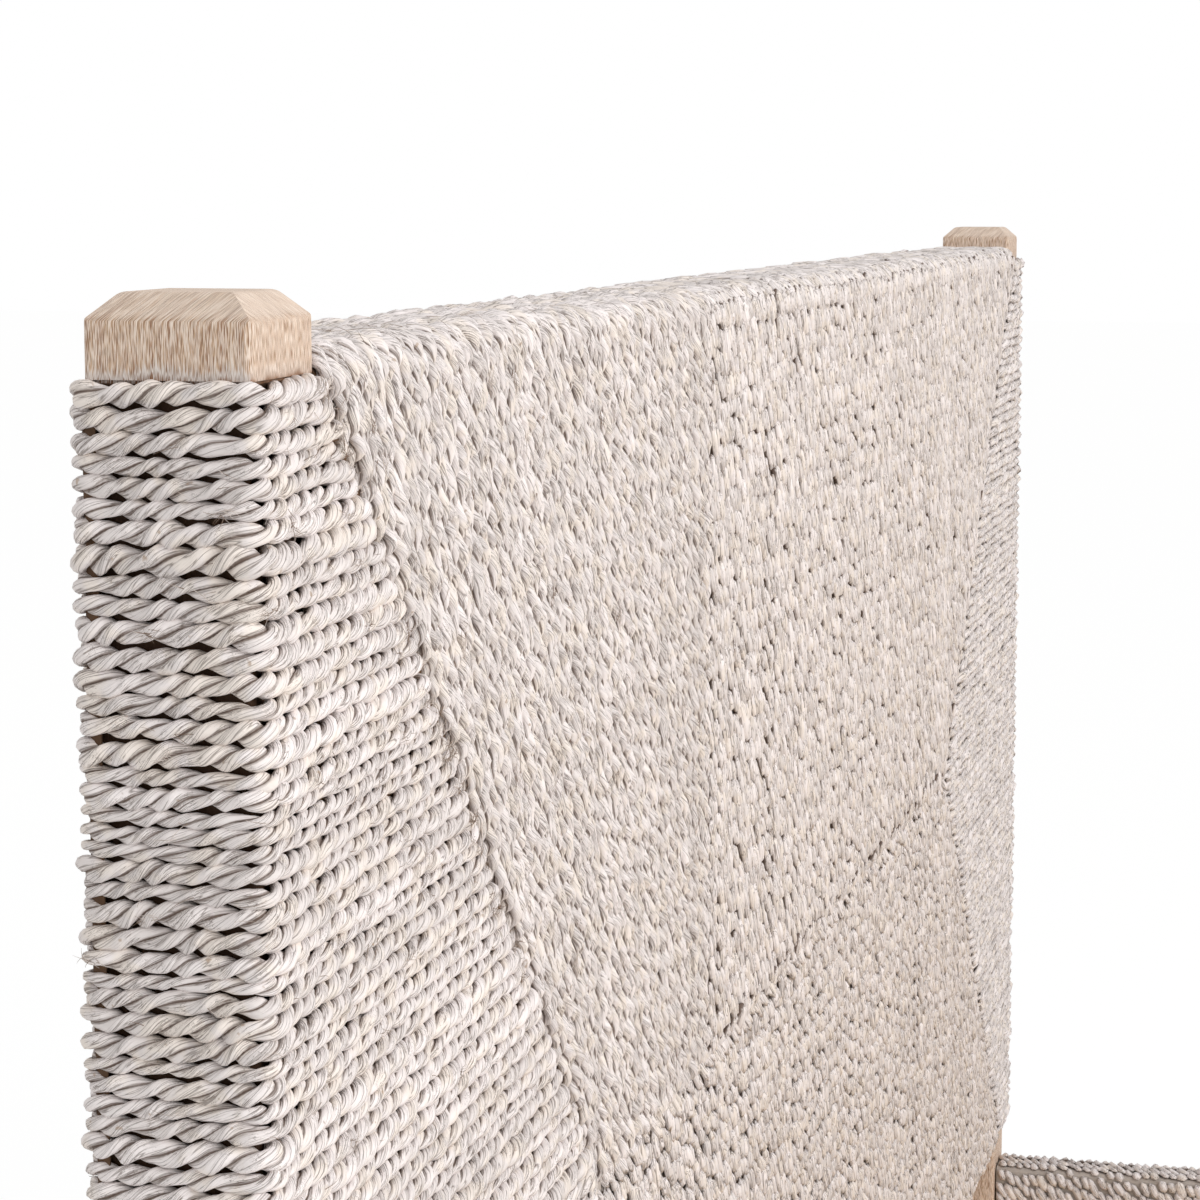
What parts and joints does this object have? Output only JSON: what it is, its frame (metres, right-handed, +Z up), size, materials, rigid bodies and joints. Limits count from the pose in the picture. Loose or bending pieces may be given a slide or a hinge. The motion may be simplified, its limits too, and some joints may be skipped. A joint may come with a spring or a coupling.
{
  "type": "rope bed",
  "caption": "King-size bed with square timber posts, a headboard wound with twisted cord in mitred fields, rope-wrapped rails and a slatted mattress base.",
  "frame": {"origin": "floor level, under the middle of the bed's outer box", "axes": "+X across the bed, +Y from the foot to the headboard, +Z up"},
  "size_m": [2.0906, 2.1882, 1.27],
  "materials": {
    "twisted_rope": "two-strand twisted natural fibre cord, undyed, matt",
    "limed_timber": "brushed and limed hardwood, matt",
    "slat_timber": "planed softwood, bare",
    "zinc_plated_steel": "zinc plated",
    "nylon_glide": "moulded nylon"
  },
  "bodies": {
    "root": {"headboard_weave_left": "twisted_rope", "headboard_weave_right": "twisted_rope", "headboard_weave_top": "twisted_rope", "headboard_weave_bottom": "twisted_rope", "foot_rail_wrap": "twisted_rope", "side_rail_wrap_left": "twisted_rope", "side_rail_wrap_right": "twisted_rope", "headboard_post_left": "limed_timber", "headboard_post_right": "limed_timber", "headboard_top_rail": "limed_timber", "headboard_bottom_rail": "limed_timber", "headboard_stretcher": "limed_timber", "headboard_stile_1": "limed_timber", "headboard_stile_2": "limed_timber", "headboard_stile_3": "limed_timber", "foot_post_left": "limed_timber", "foot_post_right": "limed_timber", "foot_rail": "limed_timber", "side_rail_left": "limed_timber", "side_rail_right": "limed_timber", "slat_cleat_left": "slat_timber", "slat_cleat_right": "slat_timber", "centre_beam": "slat_timber", "centre_leg_1": "slat_timber", "centre_leg_2": "slat_timber", "centre_leg_3": "slat_timber", "slat_1": "slat_timber", "slat_2": "slat_timber", "slat_3": "slat_timber", "slat_4": "slat_timber", "slat_5": "slat_timber", "slat_6": "slat_timber", "slat_7": "slat_timber", "slat_8": "slat_timber", "slat_9": "slat_timber", "slat_10": "slat_timber", "slat_11": "slat_timber", "slat_12": "slat_timber", "slat_13": "slat_timber", "beam_hanger_head": "zinc_plated_steel", "beam_hanger_foot": "zinc_plated_steel", "slat_screws": "zinc_plated_steel", "cleat_screws": "zinc_plated_steel", "hanger_screws": "zinc_plated_steel", "bed_bolts": "zinc_plated_steel", "bolt_washers": "zinc_plated_steel", "barrel_nuts": "zinc_plated_steel", "post_glides": "nylon_glide", "centre_leg_glides": "nylon_glide"}
  },
  "joints": []
}
